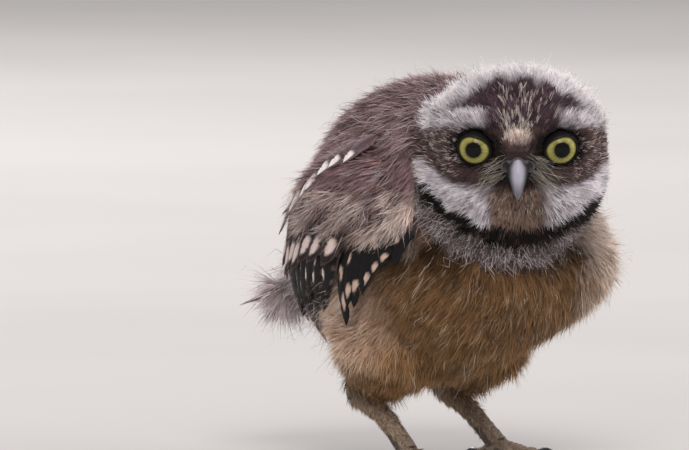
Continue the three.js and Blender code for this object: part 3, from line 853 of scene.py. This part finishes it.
# Wing feathers are flat vanes on a stiff quill, in tiers that overlap like tiles from the shoulder down:
# spotted shoulder feathers, coverts, then the dark flight feathers. Barbs split along their edges.
VANE_ROWS, VANE_COLUMNS, VANE_THICK, VANE_NOTCHES = 34, 12, 0.22, 5
QUILL_RISE, BARB_LAG, TIP_POINT, TILE_FILL = 0.35, 0.32, 0.32, 0.92
feather = Finish("feather_vane")
flat_place = feather.node("ShaderNodeUVMap", {"uv_map": "OFBake"})
barbing = feather.node(
    "ShaderNodeTexWave",
    {"bands_direction": "Y"},
    {"Vector": flat_place, "Scale": 110.0, "Distortion": 2.0, "Detail": 2.0},
)
worn = grain_of(feather, 420.0)
feather_vane = feather.close(
    Base_Color=tint_of(feather),
    Roughness=0.55 + worn * 0.25,
    Normal=bump_of(feather, barbing * 0.6 + worn * 0.4, 0.5, 0.00025),
    Specular_IOR_Level=0.3,
)


def plain(code, shape):
    return np.broadcast_to(np.array(tone(code)), (*shape, 3))


def oval(t, v, at, reach):
    """A soft oval spot on a vane, t along it and v across it."""
    return step(1.25, 0.8, np.hypot((t - at[0]) / reach[0], (v - at[1]) / reach[1]))


def streaks(t, v, draw):
    """Fine light and dark barbs that slant out from the quill."""
    slant = t * 60 - np.abs(v) * 9
    wave = np.sin(slant * 2.3 + draw.uniform(0, 6)) * np.sin(slant * 0.71 + 2)
    return 1 + 0.12 * wave + draw.normal(0, 0.03, t.shape)


def paint_shoulder(t, v, draw):
    colour = mixed(plain("#5f4b50", t.shape), "#8a7477", 0.7 * step(0.4, 1, np.abs(v)))
    colour = mixed(colour, "#3b2b2f", 0.8 * oval(t, v, (0.78, 0), (0.24, 0.8)))
    return mixed(colour, "#fff6f2", oval(t, v, (0.8, 0.05), (0.16, 0.6)))


def paint_covert(t, v, draw):
    colour = mixed(plain("#251b1c", t.shape), "#6a5552", 0.6 * step(0.7, 1, np.abs(v)) * step(0.5, 0.8, t))
    place = (0.76 + draw.uniform(-0.05, 0.03), -0.12)
    reach = (draw.uniform(0.1, 0.14), draw.uniform(0.34, 0.46))
    colour = mixed(colour, "#e6d2cb", oval(t, v, place, reach))
    colour = mixed(colour, "#7b6663", 0.6 * step(0.95, 1, t))
    return mixed(colour, "#6a5653", step(0.5, 0.2, t))


def paint_flight(t, v, draw):
    colour = plain("#120c0e", t.shape)
    for place in (0.42, 0.6, 0.78):
        place = place + draw.uniform(-0.03, 0.03)
        colour = mixed(colour, "#f1e4df", oval(t, v, (place, 0.4), (0.055, 0.3)))
        colour = mixed(colour, "#7b6862", 0.5 * oval(t, v, (place + 0.07, -0.7), (0.03, 0.16)))
    colour = mixed(colour, "#6d5c59", 0.45 * step(0.92, 1, np.abs(v)) * step(0.3, 0.6, t))
    colour = mixed(colour, "#8b7974", 0.6 * step(0.975, 1, t))
    return mixed(colour, "#5d4a48", step(0.45, 0.15, t))


def paint_alula(t, v, draw):
    colour = plain("#090607", t.shape)
    for place, across in ((0.62, 0.34), (0.86, -0.3)):
        if draw.random() < 0.62:
            spot = oval(t, v, (place + draw.uniform(-0.04, 0.04), across), (0.05, 0.42))
            colour = mixed(colour, "#d2b7a6", spot)
    return mixed(colour, "#4b3b3a", step(0.5, 0.25, t))


def vanes(name, centre_lines, widths, paint, seed, arch=0.16, twist=0.0):
    """Feathers joined as one mesh. Each centre line gives points and normals from quill to tip."""
    draw = np.random.default_rng(seed)
    t, v = np.linspace(0, 1, VANE_ROWS)[:, None], np.linspace(-1, 1, VANE_COLUMNS + 1)[None]
    outline = np.sqrt(np.clip(1 - np.maximum(0, (t - 0.7) / 0.31) ** 2, 0.05, 1))
    outline = np.clip(0.3 + 2.6 * t, 0, 1) * outline
    grid = np.arange(t.size * v.size).reshape(VANE_ROWS, -1)
    along_all, across_all = np.broadcast_to(t, grid.shape), np.broadcast_to(v, grid.shape)
    quads = np.stack([grid[:-1, :-1], grid[:-1, 1:], grid[1:, 1:], grid[1:, :-1]], -1).reshape(-1, 4)
    side_count = math.ceil(math.sqrt(len(centre_lines)))
    places, tints, tiles, faces = [], [], [], []
    for number, ((line, rise), wide) in enumerate(zip(centre_lines, widths)):
        along = unit(np.gradient(line, axis=0))
        aside = unit(np.cross(along, rise))
        reach = np.repeat(outline, 2, axis=1)
        for _ in range(VANE_NOTCHES):
            place, edge = draw.integers(8, VANE_ROWS - 3), draw.integers(2)
            reach[place, edge] *= draw.uniform(0.6, 0.86)
        reach *= 1 + draw.normal(0, 0.025, reach.shape)
        offset = np.where(v < 0, reach[:, :1], reach[:, 1:]) * wide / 2 * v
        sag = -arch * wide * v**2 * outline + twist * offset
        quill = QUILL_RISE * np.exp(-((v * 7) ** 2)) * (1 - t)
        lag = -BARB_LAG * np.abs(offset) * np.clip(1 - t * 0.8, 0, 1)
        point = TIP_POINT * wide / 2 * (1 - np.abs(v)) * t**3
        at = line[:, None] + aside[:, None] * offset[..., None] + rise[:, None] * (sag + quill)[..., None]
        at = at + along[:, None] * (lag + point)[..., None]
        tint = paint(along_all, across_all, draw) * streaks(along_all, across_all, draw)[..., None]
        faces.append(quads + number * grid.size)
        places.append(at.reshape(-1, 3))
        tints.append(tint.reshape(-1, 3))
        cell = np.array((number % side_count, number // side_count))
        flat = np.stack([across_all / 2 + 0.5, along_all], -1) * TILE_FILL + (1 - TILE_FILL) / 2
        tiles.append(((flat + cell) / side_count).reshape(-1, 2))
    faces = np.concatenate(faces)
    mesh = bpy.data.meshes.new(name)
    mesh.from_pydata((np.concatenate(places) * MM).tolist(), [], faces.tolist())
    flat_map = mesh.uv_layers.new(name="OFBake")
    flat_map.data.foreach_set("uv", np.concatenate(tiles)[faces.ravel()].astype(np.float32).ravel())
    smooth_faces(mesh)
    spread_tint(mesh, np.clip(np.concatenate(tints), 0, 1))
    made = link(mesh, feather_vane)
    body = made.modifiers.new("body", "SOLIDIFY")
    body.thickness, body.offset = VANE_THICK * MM, 0
    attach(made, "root")
    return made


def on_trunk(start, end, lifts, side, bow):
    """A centre line over the trunk between two bearings and heights in degrees."""
    t = np.linspace(0, 1, VANE_ROWS)
    bearing = np.radians(start[0] + (end[0] - start[0]) * t + bow * np.sin(t * math.pi))
    height = np.radians(start[1] + (end[1] - start[1]) * t)
    lift = lifts[0] + (lifts[1] - lifts[0]) * t
    line = trunk_point(bearing, height, lift, side)
    return line, unit(trunk_point(bearing, height, lift + 1, side) - line)


def line_up(count, start, end, wide, lifts, side, rising, bow):
    """Feathers side by side, their quills between two places and their tips between two more."""
    draw = np.random.default_rng(count)
    lines, widths = [], []
    for number in range(count):
        share = number / (count - 1)
        root = [a + (b - a) * share + draw.normal(0, 0.5) for a, b in zip(*start)]
        tip = [a + (b - a) * share + draw.normal(0, 0.9) for a, b in zip(*end)]
        lines.append(on_trunk(root, tip, [value + rising * share for value in lifts], side, bow))
        widths.append(wide * draw.uniform(0.92, 1.08))
    return lines, widths


TIERS = [
    # name, count, quills from and to, tips from and to, width, lifts, lift gained along, bow, paint
    ("primaries", 8, ((2, 0), (26, 6)), ((26, -26), (52, -36)), 8.5, (3.2, 2.6), 1.0, 4, paint_flight),
    ("secondaries", 9, ((0, 8), (34, 10)), ((15, -20), (58, -29)), 10, (4.6, 6.0), -0.2, 3, paint_flight),
    ("great_coverts", 8, ((-4, 14), (36, 11)), ((12, -9), (56, -14)), 9.5, (2.4, 7.8), -0.6, 2, paint_covert),
    ("alula", 8, ((-31, 12), (-10, 14)), ((-19, -8), (5, -27)), 7.5, (-2.6, 4.8), 2.8, 5, paint_alula),
    ("scapulars", 8, ((1, 37), (31, 22)), ((6, 25), (42, 1)), 6.5, (0.0, 6.8), 1.4, 2, paint_shoulder),
]
for side, hand in SIDES:
    for name, count, start, end, wide, lifts, rising, bow, paint in TIERS:
        lines, widths = line_up(count, start, end, wide, lifts, side, rising, bow)
        made = vanes(f"{name}_{hand}", lines, widths, paint, 40 + count, twist=0.12 * side)
        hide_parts(f"wing_{hand}")

# The short tail is ten stiff feathers in a shallow fan, the middle pair on top, barred brown and buff.
# Their quills are set side by side in the root of the tail, and each bends down a little to its tip.
TAIL = {"root": (0, 50, 75), "drop": 20, "length": 50, "width": 11.5, "feathers": 10}
TAIL_FAN = {"angle": 3.4, "apart": 1.6, "stagger": 0.8, "shorten": 0.004, "sag": 2.2}


def paint_tail(t, v, draw):
    colour = plain("#5d4a48", t.shape)
    for place in (0.28, 0.46, 0.64, 0.82):
        colour = mixed(colour, "#bfaca6", 0.9 * step(0.05, 0.025, np.abs(t - place - 0.02 * v)))
    return mixed(colour, "#d3c6c6", step(0.93, 0.99, t))


tail_lines = []
t, drop = np.linspace(0, 1, VANE_ROWS)[:, None], math.radians(TAIL["drop"])
for number in range(TAIL["feathers"]):
    off = number - (TAIL["feathers"] - 1) / 2
    turn = math.radians(off * TAIL_FAN["angle"])
    way = np.array((math.sin(turn), math.cos(turn) * math.cos(drop), -math.cos(turn) * math.sin(drop)))
    beside = np.array((off * TAIL_FAN["apart"], 0, -abs(off) * TAIL_FAN["stagger"]))
    root = np.array(TAIL["root"]) + shift + beside
    line = root + way * TAIL["length"] * (0.97 - TAIL_FAN["shorten"] * off * off) * t
    line = line + np.array((0, 0, -TAIL_FAN["sag"])) * t**2
    rise = unit(np.array((math.sin(turn) * 0.5, math.sin(drop), math.cos(drop))))
    tail_lines.append((line, np.broadcast_to(rise, line.shape)))
tail_fan = vanes("tail_feathers", tail_lines, [TAIL["width"]] * TAIL["feathers"], paint_tail, 77, arch=0.05)
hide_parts("tail")

# Each eye is a wet ball with a yellow-green iris round a black pupil, darker at the rim of the iris, as
# a young owl's is. Its clear front bulges a little over the iris.
IRIS, PUPIL, CORNEA = 5.75, 2.85, 0.9
iris = Finish("eye_wet")
spot = iris.node("ShaderNodeUVMap", {"uv_map": "gaze"})
spot = iris.node("ShaderNodeVectorMath", {"operation": "SUBTRACT"}, {0: spot, 1: (0.5, 0.5, 0)})
far = iris.node("ShaderNodeVectorMath", {"operation": "LENGTH"}, {0: spot}, out="Value")
round_it = iris.node("ShaderNodeVectorMath", {"operation": "NORMALIZE"}, {0: spot})
ray_sockets = {"Vector": round_it, "Scale": 9.0, "Detail": 3.0, "Roughness": 0.6}
rays = iris.node("ShaderNodeTexNoise", {}, ray_sockets)
iris_tone = ramp_of(
    iris,
    far * (2 * EYE["radius"] / IRIS) + (rays - 0.5) * 0.12,
    (PUPIL / IRIS - 0.02, tone("#050505")),
    (PUPIL / IRIS + 0.03, tone("#77733f")),
    (0.68, tone("#a8a45c")),
    (0.84, tone("#b3ae68")),
    (0.95, tone("#7a7542")),
    (1.0, tone("#0d0b08")),
)
veins = ramp_of(iris, rays, (0.35, (0.72, 0.72, 0.7)), (0.7, (1.1, 1.1, 1.05)))
eye_wet = iris.close(
    Base_Color=times(iris, iris_tone, veins),
    Roughness=0.3,
    Specular_IOR_Level=0.0,
    Coat_Weight=0.4,
    Coat_Roughness=0.03,
)
head_in_world = Matrix.Diagonal((MM, MM, MM, 1)) @ Matrix.Translation(SHIFT) @ head_place


def make_eyeball(hand, in_place):
    """The ball, made looking along y, with a flat map of its front for the iris."""
    ball = bmesh.new()
    bmesh.ops.create_uvsphere(ball, u_segments=64, v_segments=48, radius=EYE["radius"])
    bmesh.ops.rotate(ball, verts=ball.verts, matrix=Matrix.Rotation(math.radians(-90), 3, "X"))
    gaze = ball.loops.layers.uv.new("gaze")
    for f in ball.faces:
        for corner in f.loops:
            x, _, z = corner.vert.co / EYE["radius"]
            corner[gaze].uv = (0.5 + x / 2, 0.5 + z / 2)
    for v in ball.verts:
        if v.co.y > 0:
            v.co.y += CORNEA * max(0, 1 - (v.co.xz.length / IRIS) ** 2)
    bmesh.ops.transform(ball, matrix=in_place, verts=ball.verts)
    bmesh.ops.recalc_face_normals(ball, faces=ball.faces)
    eyeball = made_from(ball, f"eyeball_{hand}", eye_wet)
    smooth_faces(eyeball.data)
    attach(eyeball, "root")
    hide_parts(f"eye_{hand}")


# The lids are a thick black rim round each eye, drawn out to a corner towards the bill and another
# towards the ear, the upper one a little lower over the ball. They are soft bare skin on the ball.
LID = {"droop": 1.25, "droop_turn": 20, "overlap": 0.12, "clear": 0.25, "thick": 0.3, "widest": 1.14}
LID_INNER = {"bearing": 205, "long": 1.5, "slide": 0.25}
LID_OUTER = {"bearing": 12, "long": 0.9}
LID_RINGS = [
    # out from the opening, up from the ball, stand-off
    (0.0, 0.05, 0.4),
    (0.12, 0.3, 0.4),
    (0.35, 0.4, 0.15),
    (0.7, 0.1, 0.15),
    (1.1, -0.6, 0.15),
    (1.6, -1.7, 0.15),
]
lid = Finish("lid_skin")
fold = grain_of(lid, 1500.0)
lid_skin = lid.close(
    Base_Color=ramp_of(lid, fold, (0.3, tone("#060404")), (0.7, tone("#120d0e"))),
    Roughness=0.5,
    Specular_IOR_Level=0.25,
    Normal=bump_of(lid, fold, 0.5, 0.0002),
)


def corner_at(corner, angle, side):
    """How far a place round the eye belongs to one of its corners, which are given for the left eye."""
    bearing = corner["bearing"] if side > 0 else 180 - corner["bearing"]
    return corner["long"] * max(0, math.cos(angle - math.radians(bearing))) ** 10


def make_lids(side, hand, in_place):
    """Rings round the opening, each grown from the one inside it and laid on the ball."""
    lid_form = bmesh.new()
    ring = bmesh.ops.create_circle(lid_form, segments=72, radius=1)["verts"]
    bmesh.ops.rotate(lid_form, verts=ring, matrix=Matrix.Rotation(math.radians(90), 3, "X"))
    edges = list({e for v in ring for e in v.link_edges})
    for number, (out, high, stand) in enumerate(LID_RINGS):
        if number:
            grown = bmesh.ops.extrude_edge_only(lid_form, edges=edges)["geom"]
            ring = [g for g in grown if isinstance(g, bmesh.types.BMVert)]
            edges = [g for g in grown if isinstance(g, bmesh.types.BMEdge)]
            edges = [e for e in edges if all(v in ring for v in e.verts)]
        for v in ring:
            angle = math.atan2(v.co.z, v.co.x)
            inner, outer = corner_at(LID_INNER, angle, side), corner_at(LID_OUTER, angle, side)
            upper = max(0, math.sin(angle - side * math.radians(LID["droop_turn"]))) ** 2
            droop = LID["droop"] * upper * (1 - out / LID_RINGS[-1][0])
            slide = LID_INNER["slide"] * inner if number > 1 else 0
            wide = IRIS - LID["overlap"] - droop + out * (1 + 0.4 * (inner + outer))
            wide = min(wide + slide, EYE["radius"] * LID["widest"])
            ball_reach = EYE["radius"] + high + LID["clear"]
            depth = math.sqrt(max(ball_reach**2 - min(wide, ball_reach * 0.98) ** 2, 0.2))
            bulge = CORNEA * max(0, 1 - (wide / IRIS) ** 2)
            v.co = Vector((wide * math.cos(angle), depth + bulge + stand, wide * math.sin(angle)))
    bmesh.ops.transform(lid_form, matrix=in_place, verts=lid_form.verts)
    bmesh.ops.recalc_face_normals(lid_form, faces=lid_form.faces)
    if sum(f.normal.dot(toward) for f in lid_form.faces) < 0:
        bmesh.ops.reverse_faces(lid_form, faces=lid_form.faces)
    lids = made_from(lid_form, f"lids_{hand}", lid_skin)
    smooth_faces(lids.data)
    wall = lids.modifiers.new("wall", "SOLIDIFY")
    wall.thickness, wall.offset = LID["thick"] * MM, -1
    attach(lids, "root")


for side, hand in SIDES:
    splay = Matrix.Rotation(-side * math.radians(EYE["splay"]), 4, "Z")
    in_place = head_in_world @ Matrix.Translation(eye_middle(side)) @ splay
    make_eyeball(hand, in_place)
    make_lids(side, hand, in_place)

# The bill is a short hooked horn in two halves, pale blue-grey down the ridge of the upper one and
# slate at its sides, with fine lines of growth. The pale ridge is partly a painted highlight, and it
# darkens to painted shade towards the tip. The lower half is a quarter as bright, as painted shade
# under the upper one.
BILL_VOXEL, BILL_TURNS = 0.3, 4


def copied(nodes, name, voxel, turns, finish):
    """A copy of one or more solids as one closed skin with its facets rounded off."""
    form = bmesh.new()
    for node in nodes:
        form.from_mesh(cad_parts[node].data)
    bmesh.ops.remove_doubles(form, verts=form.verts, dist=WELD)
    made = rounded(made_from(form, name), voxel, turns)
    made.data.materials.append(finish)
    smooth_faces(made.data)
    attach(made, "root")
    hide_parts(*nodes)
    return made


horn = Finish("bill_horn")
growth_lines = grain_of(horn, 700.0, 3.0)
bill_horn = horn.close(
    Base_Color=tint_of(horn),
    Roughness=0.3 + growth_lines * 0.15,
    Normal=bump_of(horn, growth_lines, 0.25, 0.0002),
)
for node, name in (("bill_upper", "upper_bill"), ("bill_lower", "lower_bill")):
    bill = copied((node,), name, BILL_VOXEL, BILL_TURNS, bill_horn)
    here = look(points_of(bill.data))
    half = (0.5 + 1.5 * step(-4, -9, here["v"])) * (1 - 0.6 * step(-11, -18, here["v"]))
    # The pale ridge down the upper half: partly its own pale blue-grey, partly a painted highlight.
    pale_ridge_and_highlight = step(half + 1.2, half - 0.9, here["a"]) * step(-3.5, -6, here["v"])
    colour = mixed(plain("#2f2c32", pale_ridge_and_highlight.shape), "#a9a7b6", pale_ridge_and_highlight)
    # Painted shade: the pale ridge darkens towards the tip.
    colour = mixed(colour, "#55515b", step(-12, -18.5, here["v"]) * 0.85 * pale_ridge_and_highlight)
    # The lower half takes the same colours at a quarter of their brightness, as painted shade under the upper
    # half.
    spread_tint(bill.data, colour if node == "bill_upper" else colour * 0.25)

# The cere is a dark soft skin swollen over the base of the bill, one lobe in the middle and one to each
# side. A nostril is sunk in each side lobe.
CERE = {"forward": 24.6, "up": 2.6, "side_back": 0.16, "side_fall": 0.12}
CERE_LOBES = ((0, (3.0, 3.4, 2.9)), (-3.7, (2.9, 3.6, 2.6)), (3.7, (2.9, 3.6, 2.6)))
NOSTRIL = {"across": 4.3, "up": 2.5, "squash": 0.75, "reach": 1.9, "deep": 1.6, "front": 24}
cere_form = bmesh.new()
for across, half in CERE_LOBES:
    lobe = bmesh.ops.create_uvsphere(cere_form, u_segments=32, v_segments=20, radius=1)["verts"]
    forward = CERE["forward"] - abs(across) * CERE["side_back"]
    up = CERE["up"] - abs(across) * CERE["side_fall"]
    for v in lobe:
        v.co = Vector((v.co.x * half[0] + across, v.co.y * half[1] + forward, v.co.z * half[2] + up))
bmesh.ops.transform(cere_form, matrix=head_in_world, verts=cere_form.verts)
bmesh.ops.recalc_face_normals(cere_form, faces=cere_form.faces)
cere = rounded(made_from(cere_form, "cere"), BILL_VOXEL, BILL_TURNS)
place = points_of(cere.data)
here = look(place)
nostril_off = np.hypot(here["a"] - NOSTRIL["across"], (here["z"] - NOSTRIL["up"]) * NOSTRIL["squash"])
pit = hill(nostril_off, NOSTRIL["reach"]) * (here["y"] > NOSTRIL["front"])
inward = head_turn @ np.array((0, -1.0, 0))
move_to(cere.data, place + inward * pit[:, None] * NOSTRIL["deep"])
# The nostril pits are painted near black: painted shade in the pits.
spread_tint(cere.data, mixed(plain("#5c5257", pit.shape), "#060405", np.clip(pit * 1.6, 0, 1)))
smooth_faces(cere.data)
soft_skin = Finish("cere_skin")
pores = grain_of(soft_skin, 1800.0)
cere_skin = soft_skin.close(
    Base_Color=tint_of(soft_skin),
    Roughness=0.5 + pores * 0.15,
    Normal=bump_of(soft_skin, pores, 0.6, 0.0002),
)
cere.data.materials.append(cere_skin)
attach(cere, "root")

# Legs and toes are bare scaly skin, grey-buff, with small plates in front and fine bristles down the
# shank. The claws are curved black horn.
ANKLE, PLATE_DEEP = (22, 1, 8), 0.3
SHANK_RINGS, TOE_RINGS = 1.35, 1.75
scales = Finish("scaly_skin")
place = scales.node("ShaderNodeTexCoord", out="Object")
plates = scales.node(
    "ShaderNodeTexVoronoi", {"feature": "DISTANCE_TO_EDGE"}, {"Vector": place, "Scale": 900.0}
)
patch = ramp_of(scales, grain_of(scales, 160.0, 3.0), (0.3, (0.8, 0.78, 0.76)), (0.7, (1.2, 1.18, 1.14)))
seams = ramp_of(scales, plates, (0.0, (0.5, 0.47, 0.44)), (0.12, (1, 1, 1)))
scaly_skin = scales.close(
    Base_Color=times(scales, times(scales, tint_of(scales), patch), seams),
    Roughness=0.62,
    Normal=bump_of(scales, plates, 0.8, 0.0006),
)
claw_finish = Finish("claw_horn")
streak = grain_of(claw_finish, 500.0)
claw_tone = ramp_of(claw_finish, streak, (0.3, tone("#141011")), (0.75, tone("#33292a")))
claw_horn = claw_finish.close(Base_Color=claw_tone, Roughness=0.28 + streak * 0.12)

# Sparse bristly down runs from under the thigh to the ankle and thins out towards the toes.
LEG_TUFTS, LEG_LIFT, LEG_CURL = 1500, 12.0, 0.1
down_shank = np.array((0, -0.45, -1.0))
leg_tones = [np.tile(tone(code), (LEG_TUFTS, 1)) for code in ("#6f5a48", "#d3bca3")]


def on_shank(middle, slope):
    return step(9, 27, middle[:, 2]) + 0.04 * step(5, 9, middle[:, 2])


for side, hand in SIDES:
    leg = copied((f"shank_{hand}", f"foot_{hand}"), f"leg_{hand}", 0.45, 7, scaly_skin)
    place, slope = points_of(leg.data), points_of(leg.data, "normal")
    from_ankle = place - shift - np.array((side * ANKLE[0], ANKLE[1], ANKLE[2]))
    on_leg = step(10, 13, place[:, 2]) > 0.5
    along_toe = np.hypot(from_ankle[:, 0], from_ankle[:, 1])
    rings = np.where(on_leg, np.sin(place[:, 2] * SHANK_RINGS), np.sin(along_toe * TOE_RINGS))
    plate = np.abs(rings) ** 0.6 * np.where(on_leg, 1, step(-0.1, 0.5, slope[:, 2]))
    move_to(leg.data, place + slope * (plate * PLATE_DEEP * step(0.6, 2, place[:, 2]))[:, None])
    spread_tint(leg.data, mixed(plain("#8d7c6d", plate.shape), "#5a4c42", step(0.5, 0.1, plate)))
    for toe in ("inner", "middle", "outer", "hind"):
        claw = copied((f"claw_{toe}_{hand}",), f"talon_{toe}_{hand}", 0.22, 2, claw_horn)
    leg_roots, leg_normals = scatter(leg.data, on_shank, LEG_TUFTS, 31)
    bristle = barbs(
        f"leg_down_{hand}",
        leg_roots,
        leg_normals,
        unit(down_shank - leg_normals * (leg_normals @ down_shank)[:, None]),
        length=2.2 + 3.2 * step(14, 30, leg_roots[:, 2]),
        lift=np.full(LEG_TUFTS, LEG_LIFT),
        curl=np.full(LEG_TUFTS, LEG_CURL),
        colours=leg_tones,
        seed=330,
        count=3,
        wide=0.22,
        spot=(leg_roots.mean(0), (side, -1, 0)),
    )
